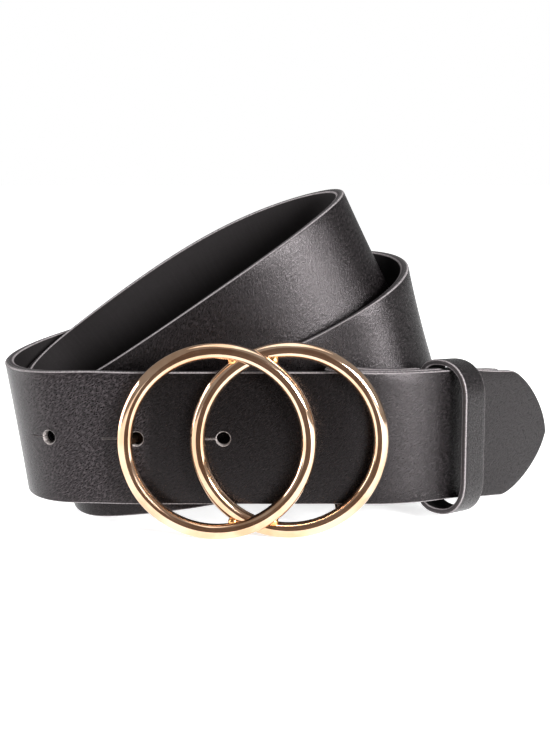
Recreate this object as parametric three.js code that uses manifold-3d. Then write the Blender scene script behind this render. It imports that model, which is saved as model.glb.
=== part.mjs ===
// Double ring belt: a leather strap coiled in four turns and standing on its edge, with a buckle of
// two overlapping round rings fastened in front and a leather keeper loop over the tip end.
// Millimetres, +Z up, the buckle faces -Y.
import * as THREE from 'three';
import { mergeVertices } from 'three/addons/utils/BufferGeometryUtils.js';
import Module from 'manifold-3d';

// Strap
const strapWidth = 34;
const strapThickness = 2.4;
const edgeChamfer = 0.4;
const layerGap = 0.3;
const tipArch = 16.8;
const tipBluntness = 1.4;
const tipRoundness = 1.6;
const tipRun = 38.5;

// Coil: how long and how deep it lies, seen from above
const coilLength = 110;
const coilDepth = 53;
const rearBendRadius = 13.2;
const rearBendDrop = 5.3;
const rearBendLeaves = 178;
const rearBendClimb = -9;
const rearBendNod = 1;
const leftBendRadius = 17;
const leftBendAcross = -44.5;
const leftBendTurn = 168;
const leftBendRise = 0.9;
const leftBendClimb = -7.5;
const leftBendLean = 9;
const frontStarts = -30.6;

// Buckle
const ringDiameter = 50;
const ringWire = 4.0;
const ringSpacing = 18.1;
const ringStep = 1.5;
const ringClear = 0.3;
const barWire = 3.0;
const barClear = 0.3;
const solderRadius = 1.3;
const studWire = 1.6;
const studHead = 5.0;
const studHeadThickness = 1.2;
const studClear = 0.5;

// Fold of the buckle end round the bar
const flapLength = 22;
const flapCloses = 10;

// Bend of the front strap away from the buckle, and the run through the keeper
const tuckRadius = 42;
const tuckAngle = 42;
const tuckClimb = -2;
const beyondRun = 11;
const beyondDrop = 2.6;
const beyondClimb = -7;
const rearBendRun = 15.2;
const tipDrop = 5.6;
const tipClimb = -6;

// Holes of the tip end
const holeDiameter = 3.5;
const holeSpacing = 22;
const holeCount = 4;
const slitLength = 4.2;
const slitWidth = 0.5;

// Keeper loop
const keeperWidth = 8.7;
const keeperHeight = 41;
const keeperFrontReach = 8.7;
const keeperBackReach = 6.4;
const keeperWall = 1.5;
const keeperFrontCurve = 10;
const keeperBackCurve = 5;
const keeperSquareness = 2.3;
const keeperPull = 1.06;
const keeperPlace = 1.4;
const keeperTurn = 6;
const keeperDrop = 1.15;
const keeperClimb = -4.5;

const metalMaterial = new THREE.MeshStandardMaterial({ color: 0xe8b48c, metalness: 1, roughness: 0.15 });
const strapMaterial = new THREE.MeshStandardMaterial({ color: 0x2b2829, roughness: 0.5 });
const keeperMaterial = new THREE.MeshStandardMaterial({ color: 0x2e2b2c, roughness: 0.45 });

// Places that follow from the sizes
const radians = THREE.MathUtils.degToRad;
const ringRadius = (ringDiameter - ringWire) / 2;
const ringHeight = ringDiameter / 2;
const rightRingDeep = -(ringClear + ringWire / 2);
const leftRingDeep = rightRingDeep - ringStep;
const frontDeep = strapThickness / 2;
const secondDeep = frontDeep + strapThickness + layerGap;
const foldRadius = (barWire + strapThickness) / 2 + barClear;
const barDeep = secondDeep + foldRadius;
const postHeight = strapWidth / 2 + barClear + barWire / 2;
const barAcross = ringSpacing / 2 + Math.sqrt(ringRadius ** 2 - postHeight ** 2);
const tuckAcross = barAcross + barWire / 3;
const studAcross = -ringSpacing / 2 - ringRadius + ringWire / 2;
const studHoleAcross = studAcross + studClear;

// Rows with named columns
const table = (columns, ...rows) => rows.map((row) => (
  Object.fromEntries(row.map((value, i) => [columns[i], value]))));

// The coil's bends in the order in which the strap runs through them, from the buckle end to the tip.
// across and deep place a bend's centre and radius sizes it, as shares of coilLength and coilDepth.
// enter and leave are the strap's headings in degrees. rise is the height of the strap's middle above
// the front strap's, as a share of strapWidth. climb, lean and nod are degrees: how steeply the strap
// climbs round the bend, and how far the bend's axis leans to the left and towards the front.
const coilBends = table(
  ['name', 'across', 'deep', 'radius', 'enter', 'leave', 'rise', 'climb', 'lean', 'nod'],
  ['inner left', -0.291, 0.364, 0.170, 190, 368, -0.160, 17, 17, 0],
  ['peak', 0.163, 0.670, 0.236, 405, 543, 1.345, 11.5, 26, 5],
  ['middle left', -0.362, 0.351, 0.245, 550, 722, -0.088, -20, 22.5, 0],
  ['outer right', 0.237, 0.638, 0.354, 732, 900, 0.715, 15.5, 15.6, 0],
);

// The rear run that the coil stands on, which passes under the outer right bend tipped forwards
const rearRun = table(
  ['name', 'across', 'deep', 'enter', 'nod'],
  ['under the outer bend', 0.390, 0.900, 183, 22],
  ['upright', 0.220, 0.838, 189, 0],
  ['end of the upright part', 0.020, 0.742, 194, 0],
);

const runHandle = 0.36;
const cornerEase = 4;
// How far the strap turns and runs between the sections of its fold and of its body
const foldStep = radians(12);
const foldRun = 2.5;
const bodyStep = radians(5);
const bodyRun = 7;
const smooth = (share) => share * share * (3 - 2 * share);

// A row of the route in millimetres and radians, ready for laying
function bendRow({ across, deep, radius = 0, enter, leave = enter, height, climb = 0, lean = 0, nod = 0 }) {
  return { across, deep, radius, height, enter: radians(enter), leave: radians(leave), climb: radians(climb),
    lean: radians(lean), nod: radians(nod) };
}

// The height of the strap's middle where its lower edge stands on the surface
function standing(nod) {
  return strapWidth / 2 * Math.cos(radians(nod)) + strapThickness / 2 * Math.sin(radians(nod));
}

// The bend away from the buckle, and a place a given run beyond it
function tuckRows(radius, deep, start) {
  const drop = radius * radians(tuckAngle) * Math.tan(radians(-tuckClimb));
  const beyond = (run) => ({
    across: tuckAcross + radius * Math.sin(radians(tuckAngle)) + run * Math.cos(radians(tuckAngle)),
    deep: deep + radius * (1 - Math.cos(radians(tuckAngle))) + run * Math.sin(radians(tuckAngle)),
    enter: start + tuckAngle,
  });
  const bend = { across: tuckAcross, deep: deep + radius, radius, enter: start, leave: start + tuckAngle,
    height: ringHeight - drop / 2, climb: tuckClimb };
  return { bend, beyond };
}

function routeRows() {
  const turns = 3 * 360;
  const inner = tuckRows(tuckRadius - (secondDeep - frontDeep), secondDeep, 0);
  const outer = tuckRows(tuckRadius, frontDeep, turns);
  const rearEntry = inner.beyond(rearBendRun);
  const rows = [
    { across: barAcross, deep: secondDeep, enter: 0, height: ringHeight },
    inner.bend,
    { ...inner.beyond(beyondRun), height: ringHeight - beyondDrop, climb: beyondClimb },
    { across: rearEntry.across - rearBendRadius * Math.sin(radians(tuckAngle)),
      deep: rearEntry.deep + rearBendRadius * Math.cos(radians(tuckAngle)), radius: rearBendRadius,
      enter: tuckAngle, leave: rearBendLeaves, height: ringHeight - rearBendDrop, climb: rearBendClimb,
      nod: rearBendNod },
    ...rearRun.map((row) => ({ ...row, across: row.across * coilLength, deep: row.deep * coilDepth,
      height: standing(row.nod) })),
    ...coilBends.map((bend) => ({ ...bend, across: bend.across * coilLength, deep: bend.deep * coilDepth,
      radius: bend.radius * coilDepth, height: ringHeight + bend.rise * strapWidth })),
    { across: leftBendAcross, deep: frontDeep + leftBendRadius, radius: leftBendRadius,
      enter: turns - leftBendTurn, leave: turns, height: ringHeight + leftBendRise, climb: leftBendClimb,
      lean: leftBendLean },
    { across: frontStarts, deep: frontDeep, enter: turns, height: ringHeight },
    { across: tuckAcross - barWire, deep: frontDeep, enter: turns, height: ringHeight },
    outer.bend,
    { ...outer.beyond(beyondRun), height: ringHeight - beyondDrop, climb: beyondClimb },
    { ...outer.beyond(tipRun), height: ringHeight - tipDrop, climb: tipClimb },
  ];
  return rows.map(bendRow);
}

// Points along one bend: an arc seen from above that climbs about its leaning axis
function layBend(row) {
  const turn = row.leave - row.enter;
  const arc = turn * row.radius;
  const steps = Math.max(1, Math.ceil(arc));
  const tilt = arc > 0 ? Math.tan(row.lean) : 0;
  const climb = Math.tan(row.climb);
  const across = (heading) => row.radius * Math.sin(heading);
  return Array.from({ length: arc > 0 ? steps + 1 : 1 }, (_, i) => {
    const heading = row.enter + turn * i / steps;
    const aside = across(heading) - across(row.enter + turn / 2);
    const rise = tilt * aside + climb * arc * (i / steps - 0.5);
    return {
      place: new THREE.Vector3(row.across + across(heading), row.deep - row.radius * Math.cos(heading),
        row.height + rise),
      heading,
      slope: tilt * Math.cos(heading) + climb,
      lean: row.lean,
      nod: row.nod,
    };
  });
}

// Points along the run between two bends, which leaves one and enters the next smoothly
function layRun(from, to) {
  const handle = runHandle * Math.hypot(to.place.x - from.place.x, to.place.y - from.place.y);
  const ahead = (point, reach) => new THREE.Vector2(
    point.place.x + reach * Math.cos(point.heading), point.place.y + reach * Math.sin(point.heading));
  const plan = new THREE.CubicBezierCurve(ahead(from, 0), ahead(from, handle), ahead(to, -handle), ahead(to, 0));
  const length = plan.getLength();
  const rise = new THREE.CubicBezierCurve(
    new THREE.Vector2(0, from.place.z), new THREE.Vector2(length / 3, from.place.z + from.slope * length / 3),
    new THREE.Vector2(2 * length / 3, to.place.z - to.slope * length / 3), new THREE.Vector2(length, to.place.z));
  const steps = Math.max(2, Math.ceil(length));
  return Array.from({ length: steps - 1 }, (_, i) => {
    const share = (i + 1) / steps;
    const point = plan.getPointAt(share);
    return {
      place: new THREE.Vector3(point.x, point.y, rise.getPoint(share).y),
      lean: THREE.MathUtils.lerp(from.lean, to.lean, smooth(share)),
      nod: THREE.MathUtils.lerp(from.nod, to.nod, smooth(share)),
    };
  });
}

// The whole centre line, with a point about every millimetre and the corners eased
function layCentreLine() {
  const line = [];
  for (const row of routeRows()) {
    const bend = layBend(row);
    if (line.length > 0) line.push(...layRun(line.at(-1), bend[0]));
    line.push(...bend);
  }
  return line.map((point, i) => {
    const reach = Math.min(cornerEase, i, line.length - 1 - i);
    const near = line.slice(i - reach, i + reach + 1);
    const place = near.reduce((sum, other) => sum.add(other.place), new THREE.Vector3()).divideScalar(near.length);
    return { ...point, place };
  });
}

// The strap's own directions at each point: along it, up across its width, and out of its outer face
function frameLine(line) {
  let distance = 0;
  return line.map((point, i) => {
    const before = line[Math.max(0, i - 1)].place;
    const after = line[Math.min(line.length - 1, i + 1)].place;
    if (i > 0) distance += point.place.distanceTo(before);
    const along = after.clone().sub(before).normalize();
    const axis = new THREE.Vector3(-Math.sin(point.lean), -Math.sin(point.nod), Math.cos(point.lean));
    const up = axis.addScaledVector(along, -axis.dot(along)).normalize();
    const out = along.clone().cross(up);
    // A strap that would dip below the surface stands on it
    const lowest = point.place.z - Math.abs(up.z) * strapWidth / 2 - Math.abs(out.z) * strapThickness / 2;
    const place = point.place.clone().add(new THREE.Vector3(0, 0, Math.max(0, -lowest)));
    return { place, along, up, out, distance };
  });
}

// The buckle end: a flap that lies behind the strap and the fold that carries it round the bar
function foldEnd(line) {
  const flap = line.filter((station) => station.distance <= flapLength).reverse().map((station) => {
    const closed = smooth(Math.min(1, station.distance / flapCloses));
    const apart = THREE.MathUtils.lerp(2 * foldRadius, strapThickness + layerGap, closed);
    return { place: station.place.clone().addScaledVector(station.out, -apart), up: station.up,
      out: station.out.clone().negate(), along: station.along.clone().negate() };
  });
  const up = new THREE.Vector3(0, 0, 1);
  const steps = 12;
  const fold = Array.from({ length: steps + 1 }, (_, i) => {
    const turn = Math.PI * i / steps;
    const out = new THREE.Vector3(-Math.sin(turn), Math.cos(turn), 0);
    const place = new THREE.Vector3(barAcross, barDeep, ringHeight).addScaledVector(out, foldRadius);
    return { place, up, out, along: up.clone().cross(out) };
  });
  return [...flap.slice(0, -1), ...fold];
}

// Keeps a station wherever the strap has turned or run far enough since the last one kept
function thinOut(stations, turnStep, runStep) {
  const kept = [stations[0]];
  let turned = 0;
  let run = 0;
  for (let i = 1; i < stations.length; i += 1) {
    const [before, here] = [stations[i - 1], stations[i]];
    turned += here.out.angleTo(before.out) + here.along.angleTo(before.along) / 2;
    run += here.place.distanceTo(before.place);
    if (turned > turnStep || run > runStep || i === stations.length - 1) {
      kept.push(stations[i]);
      turned = 0;
      run = 0;
    }
  }
  return kept;
}

// A strap of rounded rectangular section swept through the stations, closed at both ends
function sweepStrap(stations, halfWidthAt) {
  const points = [];
  const faces = [];
  const sides = 8;
  stations.forEach((station, i) => {
    const width = halfWidthAt(station);
    const half = strapThickness / 2;
    const outline = [[half, -width + edgeChamfer], [half, width - edgeChamfer], [half - edgeChamfer, width],
      [edgeChamfer - half, width], [-half, width - edgeChamfer], [-half, edgeChamfer - width],
      [edgeChamfer - half, -width], [half - edgeChamfer, -width]];
    for (const [out, up] of outline) {
      const corner = station.place.clone().addScaledVector(station.out, out).addScaledVector(station.up, up);
      points.push(...corner.toArray());
    }
    for (let side = 0; i > 0 && side < sides; side += 1) {
      const a = (i - 1) * sides + side;
      const b = (i - 1) * sides + (side + 1) % sides;
      faces.push(a, b + sides, b, a, a + sides, b + sides);
    }
  });
  const last = (stations.length - 1) * sides;
  for (let side = 1; side < sides - 1; side += 1) {
    faces.push(0, side, side + 1, last, last + side + 1, last + side);
  }
  const geometry = new THREE.BufferGeometry();
  geometry.setAttribute('position', new THREE.Float32BufferAttribute(points, 3));
  geometry.setIndex(faces);
  return geometry;
}

const wasm = await Module();
wasm.setup();

function toSolid(geometry) {
  const bare = geometry.clone();
  bare.deleteAttribute('normal');
  bare.deleteAttribute('uv');
  const merged = mergeVertices(bare, 1e-4);
  return new wasm.Manifold(new wasm.Mesh({
    numProp: 3,
    vertProperties: new Float32Array(merged.attributes.position.array),
    triVerts: new Uint32Array(merged.index.array),
  }));
}

function toGeometry(solid) {
  const mesh = solid.getMesh();
  const geometry = new THREE.BufferGeometry();
  geometry.setAttribute('position', new THREE.Float32BufferAttribute(mesh.vertProperties, mesh.numProp));
  geometry.setIndex(Array.from(mesh.triVerts));
  return geometry;
}

// Turns a geometry so that its own X, Y and Z lie along the three directions given, and places it
function lay(geometry, x, y, z, place) {
  return geometry.applyMatrix4(new THREE.Matrix4().makeBasis(x, y, z).setPosition(place));
}

function rod(diameter, from, to, sides = 14) {
  const along = to.clone().sub(from);
  const geometry = new THREE.CylinderGeometry(diameter / 2, diameter / 2, along.length(), sides);
  const turn = new THREE.Quaternion().setFromUnitVectors(new THREE.Vector3(0, 1, 0), along.clone().normalize());
  const middle = from.clone().add(to).multiplyScalar(0.5);
  return geometry.applyMatrix4(new THREE.Matrix4().compose(middle, turn, new THREE.Vector3(1, 1, 1)));
}

// The strap's place and directions at a distance along it, between the points laid
function stationAt(stations, distance) {
  const next = Math.max(1, stations.findIndex((station) => station.distance >= distance));
  const [a, b] = [stations[next - 1], stations[next]];
  const share = (distance - a.distance) / (b.distance - a.distance);
  const between = (key) => a[key].clone().lerp(b[key], share);
  return { place: between('place'), along: between('along'), up: between('up'), out: between('out') };
}

// A punched hole with the short slit beside it, cut along the strap's own directions
function holeCutter(station) {
  const reach = 2 * strapThickness;
  const from = station.place.clone().addScaledVector(station.out, -reach);
  const to = station.place.clone().addScaledVector(station.out, reach);
  const aside = station.place.clone().addScaledVector(station.along, slitWidth - (holeDiameter + slitLength) / 2);
  const slit = lay(new THREE.BoxGeometry(slitLength, slitWidth, 2 * reach), station.along, station.up,
    station.out, aside);
  return toSolid(rod(holeDiameter, from, to, 16)).add(toSolid(slit));
}

function buildStrap(line) {
  const length = line.at(-1).distance;
  const halfWidth = (station) => {
    const arch = THREE.MathUtils.clamp(1 - (length - (station.distance ?? 0)) / tipArch, 0, 1);
    return Math.max(strapWidth / 2 * (1 - arch ** tipBluntness) ** (1 / tipRoundness), 2 * edgeChamfer);
  };
  const body = line.slice(1).filter((station) => station.distance < length - tipArch);
  const tip = line.filter((station) => station.distance >= length - tipArch);
  const stations = [...thinOut(foldEnd(line), foldStep, foldRun), ...thinOut(body, bodyStep, bodyRun), ...tip];
  let strap = toSolid(sweepStrap(stations, halfWidth));
  // The stud passes through the second hole from the tip's end of the row
  const before = line.findLast((station) => station.place.x <= studHoleAcross);
  const studDistance = before.distance + studHoleAcross - before.place.x;
  for (let i = -1; i < holeCount - 1; i += 1) {
    strap = strap.subtract(holeCutter(stationAt(line, studDistance - i * holeSpacing)));
  }
  return toGeometry(strap);
}

function buildBuckle() {
  const at = (across, deep, up) => new THREE.Vector3(across, deep, ringHeight + up);
  const ring = (across, deep) => new THREE.TorusGeometry(ringRadius, ringWire / 2, 10, 56).rotateX(Math.PI / 2)
    .translate(across, deep, ringHeight);
  let buckle = toSolid(ring(-ringSpacing / 2, leftRingDeep)).add(toSolid(ring(ringSpacing / 2, rightRingDeep)));
  const add = (geometry) => {
    buckle = buckle.add(toSolid(geometry));
  };
  const ball = (diameter, place) => new THREE.SphereGeometry(diameter / 2, 12, 8).translate(...place.toArray());
  // The corners where the wires cross are filled with solder
  const inner = ringRadius - ringWire / 2;
  const outer = ringRadius + ringWire / 2;
  const cornerAcross = (outer ** 2 - inner ** 2) / (2 * ringSpacing);
  const cornerUp = Math.sqrt(inner ** 2 - (ringSpacing / 2 - cornerAcross) ** 2);
  for (const side of [-1, 1]) {
    for (const level of [-1, 1]) {
      add(ball(2 * solderRadius, at(side * cornerAcross, (leftRingDeep + rightRingDeep) / 2, level * cornerUp)));
    }
  }
  // Bar behind the strap on two posts from the right ring
  for (const level of [-1, 1]) {
    const corner = at(barAcross, barDeep, level * postHeight);
    add(rod(barWire, at(barAcross, rightRingDeep, level * postHeight), corner));
    add(ball(barWire, corner));
  }
  add(rod(barWire, at(barAcross, barDeep, -postHeight), at(barAcross, barDeep, postHeight)));
  // Stud through the strap's second hole, with a flat head behind the strap
  const headDeep = strapThickness + layerGap;
  const headBack = at(studAcross, headDeep + studHeadThickness, 0);
  add(rod(studWire, at(studAcross, leftRingDeep + ringWire / 4, 0), headBack));
  add(rod(studHead, at(studAcross, headDeep, 0), headBack));
  return toGeometry(buckle);
}

// The upper half of the keeper's outline, from its back wall over the top to its front wall
function keeperArch(inset) {
  const top = keeperHeight / 2 - inset;
  const steps = 12;
  return Array.from({ length: 2 * steps + 1 }, (_, i) => {
    const turn = Math.PI / 2 * (i / steps - 1);
    const reach = (i < steps ? keeperBackReach : keeperFrontReach) - inset;
    const curve = (i < steps ? keeperBackCurve : keeperFrontCurve) - inset;
    const square = (share) => Math.sign(share) * Math.abs(share) ** (2 / keeperSquareness);
    return new THREE.Vector2(reach * square(Math.sin(turn)), top - curve * (1 - square(Math.cos(turn))));
  });
}

// An upright loop of leather round the two layers, turned a little against them
function buildKeeper(line) {
  const innerTuck = tuckRadius - (secondDeep - frontDeep);
  const station = stationAt(line, tuckAcross - barAcross + innerTuck * radians(tuckAngle) + keeperPlace);
  const closed = (inset) => {
    const arch = keeperArch(inset);
    return [...arch.map((point) => new THREE.Vector2(point.x, -point.y)), ...arch.reverse()];
  };
  const outline = new THREE.Shape(closed(0));
  outline.holes.push(new THREE.Path(closed(keeperWall)));
  const loop = new THREE.ExtrudeGeometry(outline, { depth: keeperWidth, bevelEnabled: false })
    .translate(0, 0, -keeperWidth / 2);
  const yaw = radians(tuckAngle + keeperTurn);
  const out = new THREE.Vector3(Math.sin(yaw), -Math.cos(yaw), 0);
  const along = new THREE.Vector3(Math.cos(yaw), Math.sin(yaw), Math.tan(radians(keeperClimb))).normalize();
  const middle = station.place.clone().addScaledVector(station.out, (strapThickness + layerGap) / 2 - keeperPull);
  middle.z -= keeperDrop;
  return toGeometry(toSolid(lay(loop, out, new THREE.Vector3(0, 0, 1), along.negate(), middle)));
}

const line = frameLine(layCentreLine());
const belt = new THREE.Group();
const pieces = { strap: [buildStrap(line), strapMaterial], double_ring_buckle: [buildBuckle(), metalMaterial],
  keeper_loop: [buildKeeper(line), keeperMaterial] };
for (const [name, [geometry, material]] of Object.entries(pieces)) {
  const mesh = new THREE.Mesh(geometry, material);
  mesh.name = name;
  belt.add(mesh);
}

// The origin is under the middle of the belt, on the surface that it stands on
const box = new THREE.Box3().setFromObject(belt);
belt.position.set(-(box.min.x + box.max.x) / 2, -(box.min.y + box.max.y) / 2, -box.min.z);
belt.updateMatrixWorld(true);

export default belt;
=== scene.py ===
"""Double ring belt: a coiled leather strap, a buckle of two round rings and a leather keeper."""
import logging
import math
from dataclasses import dataclass
from enum import Enum
from typing import Callable, NamedTuple, Sequence

import bpy
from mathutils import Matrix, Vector


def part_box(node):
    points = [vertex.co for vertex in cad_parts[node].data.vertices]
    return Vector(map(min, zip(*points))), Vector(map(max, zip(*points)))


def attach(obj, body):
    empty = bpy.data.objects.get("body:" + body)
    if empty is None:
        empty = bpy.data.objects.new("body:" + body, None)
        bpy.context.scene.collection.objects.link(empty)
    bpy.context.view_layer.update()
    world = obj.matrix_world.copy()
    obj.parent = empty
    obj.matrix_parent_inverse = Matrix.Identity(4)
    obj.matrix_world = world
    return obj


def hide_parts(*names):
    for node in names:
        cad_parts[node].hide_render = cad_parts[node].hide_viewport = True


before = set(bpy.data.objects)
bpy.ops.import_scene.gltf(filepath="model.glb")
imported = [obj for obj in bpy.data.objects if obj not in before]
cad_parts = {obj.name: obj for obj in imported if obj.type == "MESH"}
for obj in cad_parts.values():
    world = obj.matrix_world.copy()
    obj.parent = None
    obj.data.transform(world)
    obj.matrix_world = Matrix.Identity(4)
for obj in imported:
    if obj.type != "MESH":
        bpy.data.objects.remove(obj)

LOG = logging.getLogger("belt")
MM = 0.001
SHARP = math.radians(40)
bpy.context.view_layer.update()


class Hand(Enum):
    """A side of the buckle, seen from the front."""

    LEFT = -1
    RIGHT = 1


class Level(Enum):
    """The upper or lower half of the buckle."""

    LOWER = -1
    UPPER = 1


class Noise(NamedTuple):
    """A noise pattern: its frequency, its finer layers and how strong they are."""

    scale: float
    detail: float = 2.0
    roughness: float = 0.5


Band = tuple[float, float]
Colour = tuple[float, float, float, float]
MIX_LOW, MIX_HIGH, MIX_RESULT = 6, 7, 2


class Signal:
    """A shader socket that takes part in Python arithmetic."""

    def __init__(self, tree: "NodeTree", socket: bpy.types.NodeSocket) -> None:
        """Wraps a socket.

        Args:
            tree: the nodes that the socket belongs to.
            socket: the output socket.
        """
        self.tree = tree
        self.socket = socket

    def _math(self, operation: str, *values: "Signal | float") -> "Signal":
        """Returns the result of a Math node."""
        return self.tree.node("ShaderNodeMath", {"operation": operation}, dict(enumerate(values)))

    def __add__(self, other: "Signal | float") -> "Signal":
        """Returns self + other."""
        return self._math("ADD", self, other)

    def __radd__(self, other: float) -> "Signal":
        """Returns other + self."""
        return self._math("ADD", other, self)

    def __sub__(self, other: "Signal | float") -> "Signal":
        """Returns self - other."""
        return self._math("SUBTRACT", self, other)

    def __rsub__(self, other: float) -> "Signal":
        """Returns other - self."""
        return self._math("SUBTRACT", other, self)

    def __mul__(self, other: "Signal | float") -> "Signal":
        """Returns self * other."""
        return self._math("MULTIPLY", self, other)

    def __rmul__(self, other: float) -> "Signal":
        """Returns other * self."""
        return self._math("MULTIPLY", other, self)

    def __truediv__(self, other: "Signal | float") -> "Signal":
        """Returns self / other."""
        return self._math("DIVIDE", self, other)

    def __abs__(self) -> "Signal":
        """Returns the size of the value without its sign."""
        return self._math("ABSOLUTE", self)

    def between(self, low: float, high: float) -> "Signal":
        """Maps low..high smoothly onto 0..1."""
        inputs = {0: self, 1: low, 2: high}
        return self.tree.node("ShaderNodeMapRange", {"interpolation_type": "SMOOTHSTEP"}, inputs)


Value = Signal | float | Sequence[float]


class NodeTree:
    """Nodes under construction."""

    def __init__(self, nodes: bpy.types.NodeTree) -> None:
        """Starts from no nodes."""
        self.nodes = nodes
        self.nodes.nodes.clear()

    def node(self, kind: str, settings: dict[str, object], inputs: dict[int | str, "Value"],
             output: int | str = 0) -> Signal:
        """Adds a node.

        Args:
            kind: the node's type name.
            settings: properties that are set before the inputs.
            inputs: values or signals by socket name or number.
            output: which output to return.

        Returns:
            The chosen output.
        """
        made = self.nodes.nodes.new(kind)
        for key, value in settings.items():
            setattr(made, key, value)
        for key, value in inputs.items():
            if isinstance(value, Signal):
                self.nodes.links.new(value.socket, made.inputs[key])
            else:
                made.inputs[key].default_value = value
        return Signal(self, made.outputs[output])

    def finish(self, kind: str, shader: Signal) -> None:
        """Links a shader to the output node of the given type."""
        output = self.nodes.nodes.new(kind)
        self.nodes.links.new(shader.socket, output.inputs["Surface"])


class Shader(NodeTree):
    """A node material under construction."""

    def __init__(self, name: str) -> None:
        """Makes an empty node material.

        Args:
            name: the material's name.
        """
        self.material = bpy.data.materials.new(name)
        self.material.use_nodes = True
        super().__init__(self.material.node_tree)

    def attribute(self, name: str) -> Signal:
        """Returns a mesh attribute's value."""
        return self.node("ShaderNodeAttribute", {"attribute_name": name}, {}, "Fac")

    def place(self) -> Signal:
        """Returns the place on the object, in metres."""
        return self.node("ShaderNodeTexCoord", {}, {}, "Object")

    def vector(self, x: Value, y: Value, z: Value = 0.0) -> Signal:
        """Returns a vector of three values."""
        return self.node("ShaderNodeCombineXYZ", {}, {0: x, 1: y, 2: z})

    def noise(self, vector: Signal, noise: Noise) -> Signal:
        """Returns a noise value round 0.5 at the place that a vector gives."""
        inputs = {"Vector": vector, "Scale": noise.scale, "Detail": noise.detail,
                  "Roughness": noise.roughness}
        return self.node("ShaderNodeTexNoise", {}, inputs)

    def cells(self, vector: Signal, scale: float) -> Signal:
        """Returns the distance to the nearest edge of a cell pattern."""
        inputs = {"Vector": vector, "Scale": scale}
        return self.node("ShaderNodeTexVoronoi", {"feature": "DISTANCE_TO_EDGE"}, inputs, "Distance")

    def colour(self, share: Signal | float, low: Value, high: Value) -> Signal:
        """Returns a colour between two others.

        Args:
            share: 0 gives low and 1 gives high.
            low: the first colour.
            high: the second colour.

        Returns:
            The mixed colour.
        """
        inputs = {"Factor": share, MIX_LOW: low, MIX_HIGH: high}
        return self.node("ShaderNodeMix", {"data_type": "RGBA"}, inputs, MIX_RESULT)

    def relief(self, height: Signal, depth: float) -> Signal:
        """Returns a normal for a relief of the given depth in metres."""
        inputs = {"Height": height, "Distance": depth, "Strength": 1.0}
        return self.node("ShaderNodeBump", {}, inputs)

    def surface(self, **values: Value) -> bpy.types.Material:
        """Finishes the material with one principled surface.

        Args:
            values: the surface's inputs, with underscores for spaces.

        Returns:
            The finished material.
        """
        inputs = {key.replace("_", " "): value for key, value in values.items()}
        self.finish("ShaderNodeOutputMaterial", self.node("ShaderNodeBsdfPrincipled", {}, inputs))
        return self.material


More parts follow.
